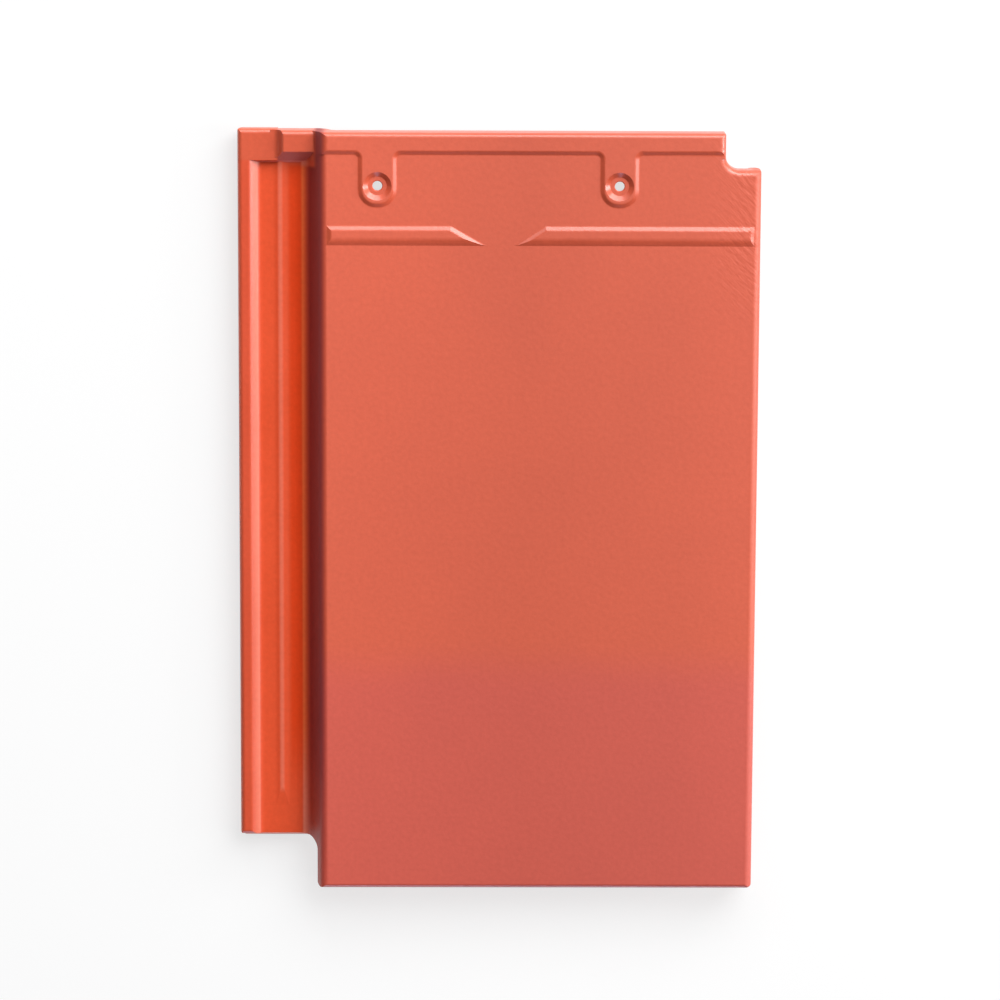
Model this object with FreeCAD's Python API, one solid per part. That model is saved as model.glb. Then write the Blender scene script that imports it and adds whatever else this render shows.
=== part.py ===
import FreeCAD, Part
import math
import os

# Flat interlocking roof tile, pressed in one piece from clay and fired.
# Frame: X across the roof, +Y up the slope to the head edge, +Z the weathered face.
# The tile lies on its tail rib and its nibs at z = 0.

Vec = FreeCAD.Vector

# Size over all; the side_lap lies in the side lock of the tile to the right
width = 300.0
length = 446.0
side_lap = 40.0

# Levels, each measured from the one below
lock_lift = 3.5
lock_thick = 8.0
rim_height = 4.0
lock_clearance = 1.5
plate_thick = 11.5
band_rise = 1.3
bar_rise = 1.3
dam_height = 9.0

# Side lock: what follows from the left edge to the wall of the plate
rim_width = 6.9
rim_run = 5.5
channel_width = 8.5
low_rib_width = 7.5
low_rib_height = 0.9
low_rib_skew = -0.55
low_rib_from_tail = 46.0
low_rib_fade = 14.0
drain_width = 10.8
wall_run = 0.52
rim_round = 3.1
rim_foot_round = 5.0
low_rib_round = 6.0
wall_foot_round = 10.5
wall_top_round = 6.0
lock_under_round = 2.0
wall_clay = 11.0
plate_under_round = 4.0

# Draft of the lock's faces below the channel, at the left, at the head and at the tail
lock_side_draft = 1.0
lock_head_draft = 0.5
lock_tail_lip = 3.0

# Outline seen from above
head_corner_round = 1.4
tail_corner_round = 3.0
lock_corner_round = 2.0
tail_notch_wide = 45.2
tail_notch_long = 29.2
tail_notch_round = 7.0
head_notch_wide = 20.5
head_notch_long = 21.8
head_notch_round = 8.0
head_step = 0.5
plate_edge_round = 2.8
right_edge_round = 4.2
notch_edge_round = 3.6
lock_edge_round = 2.8

# Dam that closes the side lock at the head
shelf_long = 18.1
shelf_to_block = 23.0
block_run = 3.2
block_long = 12.6
block_tail_run = 7.35
block_side_round = 1.5
block_foot_round = 4.0
block_wall_round = 3.0

# Head band with its two nail tabs
nail_spacing = 138.5
nail_middle = 149.6
nail_from_head = 31.2
nail_radius = 2.8
nail_web = 2.6
nail_chamfer = 0.4
under_hole_radius = 3.6
under_hole_mouth = 6.5
dish_radius = 8.2
dish_floor_radius = 5.4
dish_depth = 2.0
band_long = 12.0
band_run = 2.4
tab_wide = 19.8
tab_from_head = 42.3
tab_corner_round = 3.5
raised_edge_round = 2.0
raised_foot_round = 1.6

# Weather bars
bar_from_head = 59.8
bar_wide = 8.9
bar_run = 2.4
bar_tail_run = 3.2
bar_tail_round = 9.0
left_bar_start = 52.6
left_bar_end = 122.2
left_bar_tip = 138.0
right_bar_tip = 163.2
right_bar_start = 176.9
right_bar_end = 295.2

# Ribs of the overlapping right edge
rib_clearance = 1.5
outer_rib_root = 7.5
outer_rib_inner_draft = 1.2
outer_rib_outer_draft = 3.0
inner_rib_root = 7.0
inner_rib_draft = 1.3
inner_rib_from_head = 27.0
rib_tip_round = 1.0

# Underside: nibs that hang on the batten and the rib under the tail
nib_wide = 32.0
nib_from_head = 7.0
nib_thick = 14.0
nib_draft = 1.5
tail_rib_thick = 12.0
tail_rib_draft = 1.5

# Levels above the floor
channel_z = lock_lift + lock_thick
rim_z = channel_z + rim_height
dam_z = channel_z + dam_height
under_z = rim_z + lock_clearance
plate_z = under_z + plate_thick
band_z = plate_z + band_rise
bar_z = plate_z + bar_rise
rib_z = channel_z + rib_clearance

# Stations across the side lock, from the left edge
rim_foot = rim_width + rim_run
low_rib_start = rim_foot + channel_width
low_rib_end = low_rib_start + low_rib_width
wall_foot = low_rib_end + drain_width
wall_top = wall_foot + wall_run * (plate_z - channel_z)

# Dam: both its levels slope down to the channel along one line
dam_foot = block_long + block_tail_run

# Where one solid runs into another so that the two are surely joined
overlap = 2.0


def across(distance):
    return distance - width / 2


def from_head(distance):
    return length / 2 - distance


def from_tail(distance):
    return distance - length / 2


def unit(start, end):
    span = math.hypot(end[0] - start[0], end[1] - start[1])
    return (end[0] - start[0]) / span, (end[1] - start[1]) / span


def inset(corners, distance):
    # Corners run anticlockwise and each is (u, v, radius); the outline shrinks by the distance.
    moved = []
    for here in range(len(corners)):
        u, v, radius = corners[here]
        before = unit(corners[here - 1], corners[here])
        after = unit(corners[here], corners[(here + 1) % len(corners)])
        scale = distance / (1 + before[0] * after[0] + before[1] * after[1])
        turn = before[0] * after[1] - before[1] * after[0]
        if radius > 0:
            radius = radius - distance if turn > 0 else radius + distance
        moved.append((u - (before[1] + after[1]) * scale, v + (before[0] + after[0]) * scale, radius))
    return moved


def rounded_wire(corners, place):
    # Straight sides between corners, with an arc at each corner that has a radius.
    edges = []
    first = None
    last = None
    for here in range(len(corners)):
        u, v, radius = corners[here]
        if radius > 0:
            before = unit(corners[here - 1], corners[here])
            after = unit(corners[here], corners[(here + 1) % len(corners)])
            turn = math.acos(before[0] * after[0] + before[1] * after[1])
            reach = radius * math.tan(turn / 2)
            bulge = (radius / math.cos(turn / 2) - radius)
            inward = (after[0] - before[0], after[1] - before[1])
            size = math.hypot(inward[0], inward[1])
            start = place(u - before[0] * reach, v - before[1] * reach)
            middle = place(u + inward[0] / size * bulge, v + inward[1] / size * bulge)
            end = place(u + after[0] * reach, v + after[1] * reach)
        else:
            start = place(u, v)
            end = start
        if last is not None:
            edges.append(Part.makeLine(last, start))
        else:
            first = start
        if radius > 0:
            edges.append(Part.Arc(start, middle, end).toShape())
        last = end
    edges.append(Part.makeLine(last, first))
    return Part.Wire(edges)


def zone(left, right, tail, head, bottom, top):
    # A plain box, placed by distances from the left edge and from the tail.
    corner = Vec(across(left), from_tail(tail), bottom)
    return Part.makeBox(right - left, head - tail, top - bottom, corner)


def flat_prism(corners, bottom, top):
    wire = rounded_wire(corners, lambda u, v: Vec(u, v, bottom))
    return Part.Face(wire).extrude(Vec(0, 0, top - bottom))


def slope_prism(corners, start, end):
    # A section drawn in X and Z and carried up the slope.
    wire = rounded_wire(corners, lambda u, v: Vec(u, start, v))
    return Part.Face(wire).extrude(Vec(0, end - start, 0))


def side_prism(corners, start, end):
    # A section drawn in Y and Z and carried across the tile.
    wire = rounded_wire(corners, lambda u, v: Vec(start, u, v))
    return Part.Face(wire).extrude(Vec(end - start, 0, 0))


def drafted(corners, bottom, top, run):
    # The outline lies half way up the slope; the foot is wider and the top narrower by half the run.
    low = rounded_wire(inset(corners, -run / 2), lambda u, v: Vec(u, v, bottom))
    high = rounded_wire(inset(corners, run / 2), lambda u, v: Vec(u, v, top))
    return Part.makeLoft([low, high], True, True)


def outline(side, head, lip):
    # The lock's three free sides can be moved: in at the left, in at the head, out at the tail.
    right = across(width)
    left = across(side)
    lock_end = from_tail(tail_notch_long - lip)
    return [
        (across(tail_notch_wide), from_tail(0), tail_corner_round),
        (right, from_tail(0), tail_corner_round),
        (right, from_head(head_notch_long), head_corner_round),
        (across(width - head_notch_wide), from_head(head_notch_long), head_notch_round),
        (across(width - head_notch_wide), from_head(head), head_corner_round),
        (left, from_head(head), head_corner_round),
        (left, lock_end, lock_corner_round),
        (across(tail_notch_wide), lock_end, tail_notch_round),
    ]


def cushion(top, radius, head):
    # Everything inside the outline up to one level, its upper edge rounded all round and a
    # little more in the head notch. Corners tighter than that rounding are cut after it.
    corners = outline(0, head, 0)
    block = flat_prism([(u, v, r if r > radius else 0) for u, v, r in corners], 0, top)
    edges = level_edges(block, top)
    left = across(width - head_notch_wide) - overlap
    tail = from_head(head_notch_long) - overlap
    notch = [e for e in edges if all(v.X > left and v.Y > tail for v in e.Vertexes)]
    rounded = block.makeFillet(radius, edges).common(block.makeFillet(notch_edge_round, notch))
    return rounded.common(flat_prism(corners, 0, top))


def plate_cushion(top):
    # The right edge has a larger rounding than the others.
    section = slope_prism([
        (across(0), 0, 0),
        (across(width), 0, 0),
        (across(width), top, right_edge_round),
        (across(0), top, 0),
    ], from_tail(0), from_head(0))
    return cushion(top, plate_edge_round, head_step).common(section)


def lock_hull(top, radius, head):
    # As the cushion above the channel; below it the lock's faces are drafted.
    low = outline(lock_side_draft, head + lock_head_draft, lock_tail_lip)
    foot = rounded_wire(low, lambda u, v: Vec(u, v, lock_lift))
    waist = rounded_wire(outline(0, head, 0), lambda u, v: Vec(u, v, channel_z))
    lower = Part.makeLoft([foot, waist], True, True)
    upper = cushion(top, radius, head).common(zone(0, width, 0, length, channel_z, top))
    return lower.fuse(upper)


def lock_section():
    slant = math.hypot(1, wall_run)
    inner_top = wall_top + wall_clay * slant - wall_run * plate_thick
    inner_foot = inner_top - wall_run * (under_z - lock_lift)
    join = inner_top + overlap * plate_under_round
    return [
        (across(-overlap), lock_lift, 0),
        (across(inner_foot), lock_lift, lock_under_round),
        (across(inner_top), under_z, plate_under_round),
        (across(join), under_z, 0),
        (across(join), plate_z, 0),
        (across(wall_top), plate_z, wall_top_round),
        (across(wall_foot), channel_z, wall_foot_round),
        (across(rim_foot), channel_z, rim_foot_round),
        (across(rim_width), rim_z, rim_round),
        (across(-overlap), rim_z, 0),
    ]


def side_lock():
    whole = slope_prism(lock_section(), from_tail(0), from_head(0))
    rim_part = whole.common(zone(0, shelf_to_block, 0, length, 0, plate_z))
    drain_part = whole.common(zone(shelf_to_block, wall_foot, 0, length, 0, plate_z))
    wall_part = whole.common(zone(wall_foot, width, 0, length, 0, plate_z))
    rim_part = rim_part.common(lock_hull(rim_z, lock_edge_round, 0))
    drain_part = drain_part.common(lock_hull(rim_z, lock_edge_round, head_step))
    wall_part = wall_part.common(lock_hull(plate_z, plate_edge_round, head_step))
    return rim_part.fuse([drain_part, wall_part])


def low_rib():
    # A low rounded rib between the two channels; it fades out before the tail.
    peak = (low_rib_start + low_rib_end) / 2 + low_rib_skew
    rib = slope_prism([
        (across(low_rib_start - low_rib_round), channel_z - overlap, 0),
        (across(low_rib_end + low_rib_round), channel_z - overlap, 0),
        (across(low_rib_end + low_rib_round), channel_z, 0),
        (across(low_rib_end), channel_z, low_rib_round),
        (across(peak), channel_z + low_rib_height, low_rib_round),
        (across(low_rib_start), channel_z, low_rib_round),
        (across(low_rib_start - low_rib_round), channel_z, 0),
    ], from_tail(low_rib_from_tail), from_head(shelf_long))
    fade = side_prism([
        (from_tail(low_rib_from_tail), channel_z - overlap, 0),
        (from_head(0), channel_z - overlap, 0),
        (from_head(0), channel_z + low_rib_height, 0),
        (from_tail(low_rib_from_tail + low_rib_fade), channel_z + low_rib_height, 0),
        (from_tail(low_rib_from_tail), channel_z, 0),
    ], across(0), across(wall_foot))
    return rib.common(fade)


def plate():
    start = wall_top + wall_top_round
    slab = zone(start, width, 0, length, under_z, plate_z)
    return slab.common(plate_cushion(plate_z))


def dam():
    head = from_head(0)
    shelf = side_prism([
        (head, lock_lift, 0),
        (head, rim_z, 0),
        (from_head(shelf_long), rim_z, 0),
        (from_head(dam_foot), channel_z, 0),
        (from_head(dam_foot), lock_lift, 0),
    ], across(0), across(shelf_to_block))
    shelf = shelf.common(lock_hull(rim_z, lock_edge_round, 0))
    side = slope_prism([
        (across(shelf_to_block - block_foot_round), channel_z - overlap, 0),
        (across(wall_top), channel_z - overlap, 0),
        (across(wall_top), dam_z, 0),
        (across(shelf_to_block + block_run), dam_z, block_side_round),
        (across(shelf_to_block), rim_z, block_foot_round),
        (across(shelf_to_block - block_foot_round), rim_z, 0),
    ], from_head(dam_foot), head)
    tail = side_prism([
        (head, channel_z - overlap, 0),
        (head, dam_z, 0),
        (from_head(block_long), dam_z, 0),
        (from_head(dam_foot), channel_z, 0),
        (from_head(dam_foot), channel_z - overlap, 0),
    ], across(0), across(wall_top))
    block = side.common(tail).common(cushion(dam_z, lock_edge_round, head_step))
    return shelf.fuse([block, dam_corner()])


def dam_corner():
    # Fills the angle between the top of the dam's block and the wall; both ends slope.
    wall_side = wall_foot + wall_run * dam_height
    low_side = wall_side - block_wall_round
    front = from_head(head_step + lock_edge_round)
    back = from_head(block_long)
    slant = block_tail_run / dam_height * (plate_z - dam_z)
    strip = slope_prism([
        (across(low_side), dam_z - overlap, 0),
        (across(wall_top), dam_z - overlap, 0),
        (across(wall_top), plate_z, 0),
        (across(wall_side), dam_z, block_wall_round),
        (across(low_side), dam_z, 0),
    ], back, front)
    ends = side_prism([
        (front, dam_z - overlap, 0),
        (front, dam_z, 0),
        (front - slant, plate_z, 0),
        (back + slant, plate_z, 0),
        (back, dam_z, 0),
        (back, dam_z - overlap, 0),
    ], across(low_side), across(wall_top))
    return strip.common(ends)


def nail_places():
    return [across(nail_middle - nail_spacing / 2), across(nail_middle + nail_spacing / 2)]


def level_edges(shape, height):
    return [e for e in shape.Edges if all(abs(v.Z - height) < 1e-6 for v in e.Vertexes)]


def raised(corners, top, run):
    # A raised field on a patch of the plate; its slopes are rounded at the top and at the foot.
    patch = flat_prism(inset(corners, -run / 2 - overlap), under_z + overlap, plate_z)
    slab = drafted(corners, plate_z, top, run)
    foot = Part.Compound(level_edges(slab, plate_z))
    slab = slab.makeFillet(raised_edge_round, level_edges(slab, top))
    body = patch.fuse(slab)
    inner = [e for e in level_edges(body, plate_z) if e.distToShape(foot)[0] < overlap / 2]
    return body.makeFillet(raised_foot_round, inner)


def head_band():
    half = tab_wide / 2
    step = from_head(band_long)
    tab_end = from_head(tab_from_head)
    left = across(wall_foot - overlap)
    right = across(width + overlap)
    corners = [(left, step, 0)]
    for x in nail_places():
        corners.append((x - half, step, tab_corner_round))
        corners.append((x - half, tab_end, half - band_run / 4))
        corners.append((x + half, tab_end, half - band_run / 4))
        corners.append((x + half, step, tab_corner_round))
    corners += [(right, step, 0), (right, from_head(-overlap), 0), (left, from_head(-overlap), 0)]
    band = raised(corners, band_z, band_run)
    # Over the wall the band carries the wall's slope on; the tabs stay clear of it.
    wall = slope_prism([
        (across(wall_foot), channel_z, 0),
        (right, channel_z, 0),
        (right, band_z, 0),
        (across(wall_top + wall_run * band_rise), band_z, wall_top_round),
    ], step - band_run / 2, from_head(0))
    field = zone(wall_top + wall_top_round, width, 0, length, 0, band_z)
    band = band.common(wall.fuse(field))
    return band.common(cushion(band_z, plate_edge_round, head_step))


def weather_bars():
    head_side = from_head(bar_from_head - bar_wide / 2)
    tail_side = from_head(bar_from_head + bar_wide / 2)
    left_bar = [
        (across(left_bar_start), tail_side, 0),
        (across(left_bar_tip), tail_side, 0),
        (across(left_bar_end), head_side, 0),
        (across(left_bar_start), head_side, 0),
    ]
    right_bar = [
        (across(right_bar_tip), tail_side, 0),
        (across(right_bar_end), tail_side, 0),
        (across(right_bar_end), head_side, 0),
        (across(right_bar_start), head_side, 0),
    ]
    # Towards the tail the bars fall more gently and their top is rounder.
    foot = tail_side - bar_run / 2
    reach = bar_run / 2 + raised_foot_round * math.tan(math.atan2(bar_rise, bar_run) / 2)
    field = side_prism([
        (from_tail(0), 0, 0),
        (from_tail(0), plate_z, 0),
        (foot, plate_z, 0),
        (foot + bar_tail_run, bar_z, bar_tail_round),
        (from_head(0), bar_z, 0),
        (from_head(0), 0, 0),
    ], across(left_bar_start - reach), across(right_bar_end + reach))
    return [raised(bar, bar_z, bar_run).common(field) for bar in (left_bar, right_bar)]


def nail_cut(x):
    # From the top: dish, chamfer, hole through a thin web, then a wide mouth underneath.
    y = from_head(nail_from_head)
    floor = band_z - dish_depth
    web = floor - nail_web
    dish = Part.makeCone(dish_floor_radius, dish_radius, dish_depth, Vec(x, y, floor))
    chamfer = Part.makeCone(nail_radius, nail_radius + nail_chamfer, nail_chamfer,
                            Vec(x, y, floor - nail_chamfer))
    hole = Part.makeCylinder(nail_radius, nail_web, Vec(x, y, web))
    mouth = Part.makeCone(under_hole_mouth, under_hole_radius, web - under_z, Vec(x, y, under_z))
    return dish.fuse([chamfer, hole, mouth])


def edge_ribs():
    start = from_tail(tail_rib_thick / 2)
    side = width - outer_rib_root
    outer = slope_prism([
        (across(side), under_z + overlap, 0),
        (across(side), under_z, 0),
        (across(side + outer_rib_inner_draft), rib_z, rib_tip_round),
        (across(width - outer_rib_outer_draft), rib_z, rib_tip_round),
        (across(width), under_z, 0),
        (across(width), under_z + overlap, 0),
    ], start, from_head(head_notch_long))
    middle = width - side_lap + rim_foot + channel_width / 2
    inner = slope_prism([
        (across(middle - inner_rib_root / 2), under_z + overlap, 0),
        (across(middle - inner_rib_root / 2), under_z, 0),
        (across(middle - inner_rib_root / 2 + inner_rib_draft), rib_z, rib_tip_round),
        (across(middle + inner_rib_root / 2 - inner_rib_draft), rib_z, rib_tip_round),
        (across(middle + inner_rib_root / 2), under_z, 0),
        (across(middle + inner_rib_root / 2), under_z + overlap, 0),
    ], start, from_head(inner_rib_from_head))
    return [outer.common(plate_cushion(plate_z)), inner]


def nib(x):
    half = nib_wide / 2
    head_side = from_head(nib_from_head)
    tail_side = from_head(nib_from_head + nib_thick)
    block = side_prism([
        (head_side, under_z + overlap, 0),
        (head_side, under_z, 0),
        (head_side - nib_draft, 0, 0),
        (tail_side, 0, 0),
        (tail_side, under_z + overlap, 0),
    ], x - half, x + half)
    return block


def tail_rib():
    rib = side_prism([
        (from_tail(0), 0, 0),
        (from_tail(0), under_z + overlap, 0),
        (from_tail(tail_rib_thick), under_z + overlap, 0),
        (from_tail(tail_rib_thick), under_z, 0),
        (from_tail(tail_rib_thick - tail_rib_draft), 0, 0),
    ], across(tail_notch_wide), across(width))
    return rib.common(plate_cushion(plate_z))


def build():
    tile = side_lock().fuse(plate())
    added = [low_rib(), dam(), head_band(), tail_rib()] + weather_bars() + edge_ribs()
    added += [nib(x) for x in nail_places()]
    tile = tile.fuse(added).removeSplitter()
    for x in nail_places():
        tile = tile.cut(nail_cut(x))
    return tile


os.makedirs("parts", exist_ok=True)
tile = build()
tile.exportStep("parts/clay_roof_tile.step")
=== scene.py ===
import math

import bmesh
import bpy
from mathutils import Matrix, Vector


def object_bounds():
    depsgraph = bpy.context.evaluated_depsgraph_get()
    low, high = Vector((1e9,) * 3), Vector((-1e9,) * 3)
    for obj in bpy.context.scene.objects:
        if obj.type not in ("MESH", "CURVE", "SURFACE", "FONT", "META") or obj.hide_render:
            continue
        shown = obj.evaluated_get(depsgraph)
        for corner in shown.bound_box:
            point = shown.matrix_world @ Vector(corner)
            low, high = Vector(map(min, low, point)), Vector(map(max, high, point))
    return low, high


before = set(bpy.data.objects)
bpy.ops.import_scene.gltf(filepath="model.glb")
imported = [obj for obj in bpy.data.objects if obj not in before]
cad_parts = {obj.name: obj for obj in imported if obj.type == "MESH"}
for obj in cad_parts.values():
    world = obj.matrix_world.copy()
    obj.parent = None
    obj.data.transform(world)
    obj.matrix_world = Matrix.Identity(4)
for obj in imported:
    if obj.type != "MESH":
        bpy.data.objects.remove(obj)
bpy.context.view_layer.update()
cad_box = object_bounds()

MM = 0.001
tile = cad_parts["clay_roof_tile"]
scene = bpy.context.scene

HEIGHT = cad_box[1][2] - cad_box[0][2]
LEFT, RIGHT, HEAD = cad_box[0][0], cad_box[1][0], cad_box[1][1]
# Heights over the floor: just over the lock's channels, on top of its low rib and of its rim, low on its
# wall, and at the foot of the plate's round.
CHANNEL, LOW_RIB, RIM, WALL, PLATE = 12.0 * MM, 12.4 * MM, 15.5 * MM, 18.0 * MM, 26.0 * MM
# Places across the lock: its low rib's inner foot, the end of its dam, the foot of its wall, and the top
# of the wall's round.
RIB_FOOT, DAM_END, WALL_FOOT, WALL_TOP = (LEFT + x * MM for x in (28, 43, 39, 52))
# Places along the tile: the dam's shelf, and stretches where the painted shade on the wall, the inner
# channel's deeper tint and the painted shade of the tail third fade in.
SHELF = HEAD - 20 * MM
WALL_SHADE_FADE, DRAIN_FADE, TAIL_SHADE_FADE = (-260 * MM, -120 * MM), (-190 * MM, -120 * MM), (-66 * MM, -100 * MM)
# How far the clouding moves the edge of the tail's painted shade, and the widths of the other masks' soft
# edges.
TAIL_SHADE_DRIFT, SOFT, WIDE = 10 * MM, 3 * MM, 5 * MM
WRINKLED_CORNER = [("X", 112 * MM, 142 * MM), ("Y", 95 * MM, 150 * MM)]
# The upward part of a face's normal, from where a mask starts to where it is full.
LEVEL_FACES, UNDERSIDE = (0.965, 0.995), (-0.15, -0.45)
# Grain sizes: clouding, specks, peel, the clay's grit, and the width of the press wrinkles. Then how deep
# the reliefs are, and how the wrinkles lie.
CLOUD, SPECK, PEEL, GRIT, WRINKLE = 55 * MM, 2.6 * MM, 3.0 * MM, 1.6 * MM, 2.2 * MM
PEEL_DEPTH, GRIT_DEPTH, WRINKLE_DEPTH = 0.08 * MM, 0.15 * MM, 0.30 * MM
WRINKLE_SLANT, WRINKLE_STRETCH = math.radians(-45), 4.0
# A fired slip mirrors somewhat more than glass does. Its gloss is read from the photo.
SLIP_IOR = 1.7
SATIN, FIELD_ROUGH, EDGE_ROUGH, WALL_ROUGH, CLAY_ROUGH = (0.28, 0.34), 0.55, 0.5, 0.6, 0.88
# A noise pattern stays between these values nearly everywhere.
NOISE_LOW, NOISE_HIGH = 0.3, 0.7
# A colour mix node's sockets by number: factor, first and second colour, and its result.
FACTOR, FIRST, SECOND, RESULT = 0, 6, 7, 2
# The floor's half width in metres, and how far what is seen of it is lifted to white.
FLOOR_SIZE, FLOOR_LIFT = 8.0, 0.72


def linear(code):
    # A colour written as sRGB hex, turned linear.
    channels = [int(code[i:i + 2], 16) / 255 for i in (0, 2, 4)]
    return tuple(c / 12.92 if c <= 0.04045 else ((c + 0.055) / 1.055) ** 2.4 for c in channels) + (1.0,)


def grey(value):
    # The same number in each channel, for a ramp or mix that carries a plain value.
    return (value, value, value, 1.0)


def add(tree, kind, settings=None, links=None, stops=()):
    # One node with its own settings and fixed inputs, the outputs that feed it, and a colour ramp's stops.
    node = tree.nodes.new(kind)
    for name, value in (settings or {}).items():
        if isinstance(name, str) and hasattr(node, name):
            setattr(node, name, value)
        else:
            node.inputs[name].default_value = value
    for name, source in (links or {}).items():
        tree.links.new(source, node.inputs[name])
    for number, (place, value) in enumerate(stops):
        if number > 1:
            node.color_ramp.elements.new(place)
        node.color_ramp.elements[number].position = place
        node.color_ramp.elements[number].color = value
    return node


def blank(name):
    material = bpy.data.materials.new(name)
    material.use_nodes = True
    material.node_tree.nodes.clear()
    return material, material.node_tree


def region(tree, vector, limits):
    # A soft-edged mask: along each axis it is 0 up to the first value and 1 from the second one on.
    at = add(tree, "ShaderNodeSeparateXYZ", links={"Vector": vector}).outputs
    mask = None
    for axis, outside, inside in limits:
        edge = add(tree, "ShaderNodeMapRange", {"interpolation_type": "SMOOTHSTEP", "From Min": outside,
                                                "From Max": inside}, {"Value": at[axis]}).outputs["Result"]
        if mask is not None:
            edge = add(tree, "ShaderNodeMath", {"operation": "MULTIPLY"}, {0: mask, 1: edge}).outputs["Value"]
        mask = edge
    return mask


def shaded_lock_wall(tree, place):
    # The mask of the wall's painted shade, also used for its roughness, starts at its foot along the lock,
    # and beyond the dam's end along the dam.
    top = ("X", WALL_TOP, WALL_TOP - WIDE)
    along = region(tree, place, [("X", WALL_FOOT + SOFT - WIDE, WALL_FOOT + SOFT), top,
                                 ("Y", SHELF, SHELF - SOFT), ("Y", *WALL_SHADE_FADE)])
    beside = region(tree, place, [("X", DAM_END, DAM_END + SOFT), top, ("Y", SHELF - SOFT, SHELF)])
    return add(tree, "ShaderNodeMath", {"operation": "ADD"}, {0: along, 1: beside}).outputs["Value"]


def slip_tone(tree, place, cloud, wall):
    # The slip's tone follows height: deepest in the lock's channels, with a painted highlight as a paler band
    # at the height of the low rib's crest, on the rib and on the rim's inner slope. The inner channel beside
    # the wall is tinted deeper, and the lock's steep wall carries painted shade, dark and purple. Painted
    # light makes the field a little darker across the middle and paler towards both sides, and painted shade
    # makes the tail third darker and cooler. Clouds and specks are a few hundredths of the tone.
    at = add(tree, "ShaderNodeSeparateXYZ", links={"Vector": place}).outputs
    shelf = region(tree, place, [("Y", SHELF, SHELF + SOFT)])
    height = add(tree, "ShaderNodeMath", {"operation": "DIVIDE", 1: HEIGHT}, {0: at["Z"]}).outputs["Value"]
    level = add(tree, "ShaderNodeMath", {"operation": "MAXIMUM"}, {0: height, 1: shelf}).outputs["Value"]
    # Painted highlight: the paler stop at the low rib's crest height lights the rib's crest and the rim's
    # inner slope.
    tone = add(tree, "ShaderNodeValToRGB", links={"Fac": level}, stops=[
        (CHANNEL / HEIGHT, linear("f65c34")), (LOW_RIB / HEIGHT, linear("ff8c72")),
        (RIM / HEIGHT, linear("e65a3a")), (PLATE / HEIGHT, linear("e36345"))]).outputs["Color"]
    # Painted shade: the raised field's tail third turns darker and cooler, its edge moved by the clouding.
    drift = add(tree, "ShaderNodeVectorMath", {"operation": "MULTIPLY_ADD", 1: (0.0, TAIL_SHADE_DRIFT, 0.0)},
                {0: cloud, 2: place}).outputs["Vector"]
    tail = region(tree, drift, [("Y", *TAIL_SHADE_FADE), ("Z", WALL, PLATE)])
    tone = add(tree, "ShaderNodeMix", {"data_type": "RGBA", SECOND: linear("de5f4d")},
               {FACTOR: tail, FIRST: tone}).outputs[RESULT]
    # Painted light: the field is darker across the middle and paler towards both sides, cooler at the right.
    across = add(tree, "ShaderNodeMapRange", {"From Min": LEFT, "From Max": RIGHT},
                 {"Value": at["X"]}).outputs["Result"]
    sides = add(tree, "ShaderNodeValToRGB", links={"Fac": across}, stops=[
        (0.17, linear("ffffff")), (0.3, linear("fafafa")), (0.55, linear("ededed")),
        (0.85, linear("eff1f3")), (0.97, linear("f4f7fb"))]).outputs["Color"]
    clouds = add(tree, "ShaderNodeValToRGB", links={"Fac": cloud},
                 stops=[(NOISE_LOW, linear("fafafc")), (NOISE_HIGH, linear("ffffff"))]).outputs["Color"]
    grain = add(tree, "ShaderNodeTexNoise", {"Scale": 1 / SPECK}, {"Vector": place}).outputs["Fac"]
    specks = add(tree, "ShaderNodeValToRGB", links={"Fac": grain},
                 stops=[(NOISE_LOW, linear("f8f6f5")), (NOISE_HIGH, linear("ffffff"))]).outputs["Color"]
    for tint in (sides, clouds, specks):
        tone = add(tree, "ShaderNodeMix", {"data_type": "RGBA", "blend_type": "MULTIPLY", FACTOR: 1.0},
                   {FIRST: tone, SECOND: tint}).outputs[RESULT]
    # The inner channel beside the wall is tinted deeper, less green and blue, fading towards the tail.
    drain = region(tree, place, [("X", RIB_FOOT, RIB_FOOT + SOFT), ("X", WALL_FOOT + SOFT, WALL_FOOT),
                                 ("Y", SHELF, SHELF - SOFT), ("Y", *DRAIN_FADE)])
    # Painted shade on the lock's steep wall: dark and purple, fading towards the tail.
    for mask, tint in ((drain, "ffd18e"), (wall, "b07098")):
        tone = add(tree, "ShaderNodeMix",
                   {"data_type": "RGBA", "blend_type": "MULTIPLY", SECOND: linear(tint)},
                   {FACTOR: mask, FIRST: tone}).outputs[RESULT]
    return tone


def slip_relief(tree, place):
    # Fine peel all over, and near the head's right corner short slanting wrinkles from the press.
    # The peel is drawn coarser than it is, so that it shows.
    lumps = add(tree, "ShaderNodeTexNoise", {"Scale": 1 / PEEL}, {"Vector": place}).outputs["Fac"]
    peel = add(tree, "ShaderNodeBump", {"Distance": PEEL_DEPTH}, {"Height": lumps}).outputs["Normal"]
    slant = add(tree, "ShaderNodeMapping", {"vector_type": "TEXTURE", "Rotation": (0, 0, WRINKLE_SLANT),
                                            "Scale": (WRINKLE_STRETCH, 1, 1)},
                {"Vector": place}).outputs["Vector"]
    folds = add(tree, "ShaderNodeTexNoise", {"Scale": 1 / WRINKLE}, {"Vector": slant}).outputs["Fac"]
    corner = region(tree, place, WRINKLED_CORNER)
    return add(tree, "ShaderNodeBump", {"Distance": WRINKLE_DEPTH},
               {"Height": folds, "Strength": corner, "Normal": peel}).outputs["Normal"]


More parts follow.
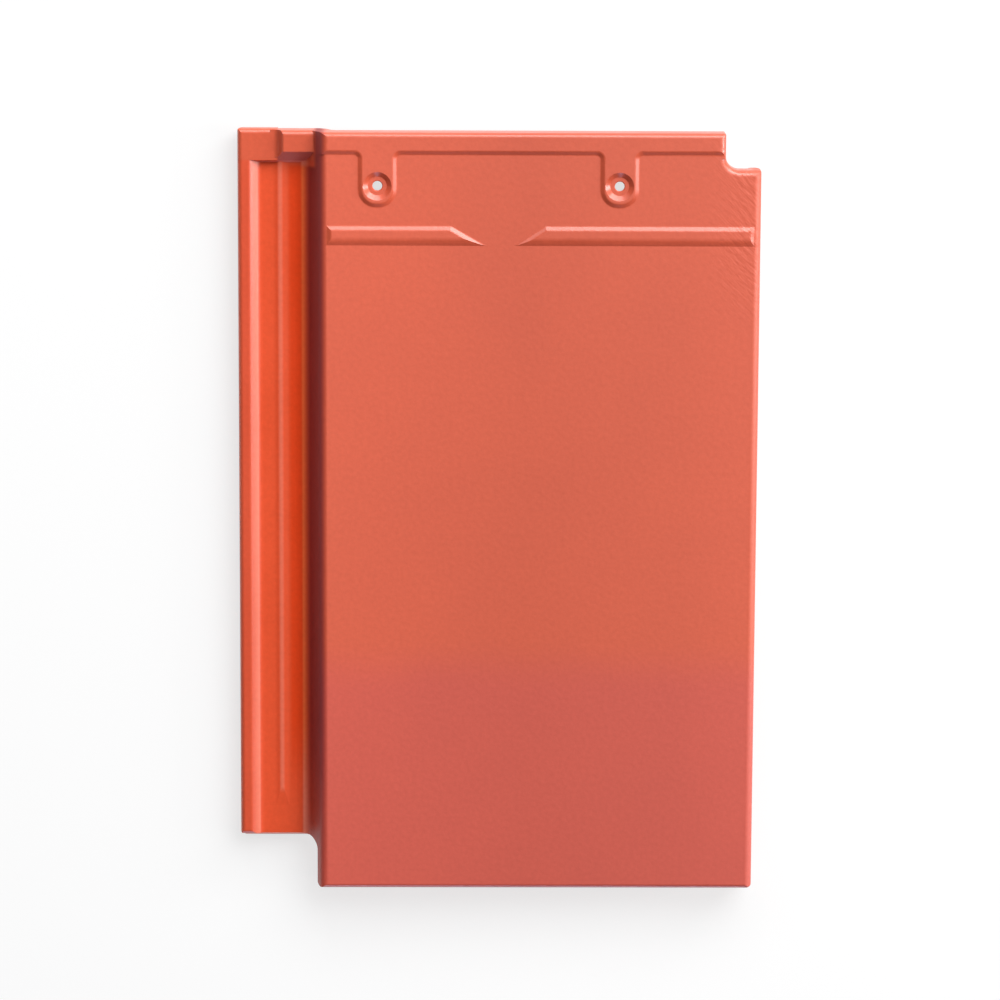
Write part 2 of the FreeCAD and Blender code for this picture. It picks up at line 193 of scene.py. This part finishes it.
def tile_finish():
    # Red engobe, a fine slip sprayed on the clay and fired with it: satin and slightly clouded, glossier in
    # the lock and on the slopes, where it ran smooth, than on the field, the right edge and the lock's wall.
    # The underside has no slip and shows matt, gritty fired clay.
    material, tree = blank("red_engobe_on_fired_clay")
    texture = add(tree, "ShaderNodeTexCoord").outputs
    place = texture["Object"]
    bare = region(tree, texture["Normal"], [("Z", *UNDERSIDE)])
    level = region(tree, texture["Normal"], [("Z", *LEVEL_FACES)])
    raised = region(tree, place, [("Z", WALL, PLATE)])
    field = add(tree, "ShaderNodeMath", {"operation": "MULTIPLY"}, {0: level, 1: raised}).outputs["Value"]
    edge = region(tree, place, [("X", RIGHT - 2 * SOFT, RIGHT - SOFT)])
    wall = shaded_lock_wall(tree, place)
    cloud = add(tree, "ShaderNodeTexNoise", {"Scale": 1 / CLOUD}, {"Vector": place}).outputs["Fac"]
    grit = add(tree, "ShaderNodeTexNoise", {"Scale": 1 / GRIT, "Detail": 3.0},
               {"Vector": place}).outputs["Fac"]
    clay = add(tree, "ShaderNodeValToRGB", links={"Fac": grit},
               stops=[(NOISE_LOW, linear("a9573a")), (NOISE_HIGH, linear("c67350"))]).outputs["Color"]
    slip = slip_tone(tree, place, cloud, wall)
    colour = add(tree, "ShaderNodeMix", {"data_type": "RGBA"},
                 {FACTOR: bare, FIRST: slip, SECOND: clay}).outputs[RESULT]
    rough = add(tree, "ShaderNodeValToRGB", links={"Fac": cloud},
                stops=[(NOISE_LOW, grey(SATIN[0])), (NOISE_HIGH, grey(SATIN[1]))]).outputs["Color"]
    for mask, value in ((field, FIELD_ROUGH), (edge, EDGE_ROUGH), (wall, WALL_ROUGH), (bare, CLAY_ROUGH)):
        rough = add(tree, "ShaderNodeMix", {"data_type": "RGBA", SECOND: grey(value)},
                    {FACTOR: mask, FIRST: rough}).outputs[RESULT]
    relief = add(tree, "ShaderNodeBump", {"Distance": GRIT_DEPTH},
                 {"Height": grit, "Strength": bare, "Normal": slip_relief(tree, place)}).outputs["Normal"]
    shader = add(tree, "ShaderNodeBsdfPrincipled", {"IOR": SLIP_IOR},
                 {"Base Color": colour, "Roughness": rough, "Normal": relief})
    add(tree, "ShaderNodeOutputMaterial", links={"Surface": shader.outputs["BSDF"]})
    return material


tile.material_slots[0].material = tile_finish()


def floor():
    # Matt white board. Seen straight or mirrored it is lifted towards white; its light on the tile is plain.
    mesh = bpy.data.meshes.new("floor")
    form = bmesh.new()
    bmesh.ops.create_grid(form, x_segments=1, y_segments=1, size=FLOOR_SIZE)
    form.to_mesh(mesh)
    form.free()
    obj = bpy.data.objects.new("floor", mesh)
    scene.collection.objects.link(obj)
    material, tree = blank("matt_white_board")
    board = add(tree, "ShaderNodeBsdfPrincipled", {"Base Color": linear("fcfcfc"), "Roughness": 0.9})
    white = add(tree, "ShaderNodeEmission", {"Color": linear("ffffff"), "Strength": 1.0})
    rays = add(tree, "ShaderNodeLightPath").outputs
    seen = rays["Is Camera Ray"]
    for other in ("Is Glossy Ray", "Is Transmission Ray"):
        seen = add(tree, "ShaderNodeMath", {"operation": "MAXIMUM"},
                   {0: seen, 1: rays[other]}).outputs["Value"]
    lift = add(tree, "ShaderNodeMath", {"operation": "MULTIPLY", 1: FLOOR_LIFT}, {0: seen}).outputs["Value"]
    mixed = add(tree, "ShaderNodeMixShader",
                links={0: lift, 1: board.outputs["BSDF"], 2: white.outputs["Emission"]})
    add(tree, "ShaderNodeOutputMaterial", links={"Surface": mixed.outputs["Shader"]})
    mesh.materials.append(material)


floor()


def lamp(name, azimuth, elevation, distance, size, level, tint):
    # A square soft light; azimuth is turned from +X towards +Y, the level is what it lays on the floor.
    a, e = math.radians(azimuth), math.radians(elevation)
    back = Vector((math.cos(a) * math.cos(e), math.sin(a) * math.cos(e), math.sin(e)))
    data = bpy.data.lights.new(name, "AREA")
    data.shape = "SQUARE"
    data.size = size
    data.color = linear(tint)[:3]
    data.energy = level * math.pi * math.pi * distance ** 2 / math.sin(e)
    obj = bpy.data.objects.new(name, data)
    obj.matrix_world = Matrix.Translation(back * distance) @ back.to_track_quat("Z", "Y").to_matrix().to_4x4()
    scene.collection.objects.link(obj)


lamp("key", 57, 40, 4.4, 3.2, 0.76, "ffffff")
lamp("right_strip", 2, 18, 2.5, 0.6, 0.10, "ffffff")
lamp("right_panel", 0, 38, 2.5, 1.0, 0.10, "ffffff")
lamp("head_strip", 94, 30, 2.5, 0.9, 0.12, "ffffff")
lamp("left_head_panel", 128, 38, 2.5, 0.8, 0.05, "ffffff")
lamp("corner_strip", 45, 16, 2.5, 0.6, 0.025, "ffffff")
lamp("tail_strip", -90, 5, 2.5, 0.6, 0.016, "d4d8ff")


def sky(level):
    world = bpy.data.worlds.new("studio")
    scene.world = world
    world.use_nodes = True
    tree = world.node_tree
    tree.nodes.clear()
    shader = add(tree, "ShaderNodeBackground", {"Color": linear("ffffff"), "Strength": level})
    add(tree, "ShaderNodeOutputWorld", links={"Surface": shader.outputs["Background"]})


sky(0.03)


def camera():
    # Stands over the head end and looks down at the tile, 11 degrees off the upright. Its place and turn
    # come from a pinhole camera fitted to the photo's edges.
    place, tilt, yaw, roll = Vector((-34.40, 539.60, 2760.54)) * MM, 0.19166, -0.01306, 0.00484
    back = Vector((math.sin(yaw) * math.cos(tilt), math.sin(tilt), math.cos(yaw) * math.cos(tilt)))
    back.normalize()
    right = Vector((0, 1, 0)).cross(back).normalized()
    up = back.cross(right)
    turn = Matrix((right, up, back)).transposed() @ Matrix.Rotation(roll, 3, "Z")
    data = bpy.data.cameras.new("camera")
    data.sensor_width = 36.0
    data.lens = 173.285
    data.clip_end = 50.0
    obj = bpy.data.objects.new("camera", data)
    obj.matrix_world = Matrix.Translation(place) @ turn.to_4x4()
    scene.collection.objects.link(obj)
    scene.camera = obj


camera()

scene.view_settings.view_transform = "Standard"

bpy.context.view_layer.update()
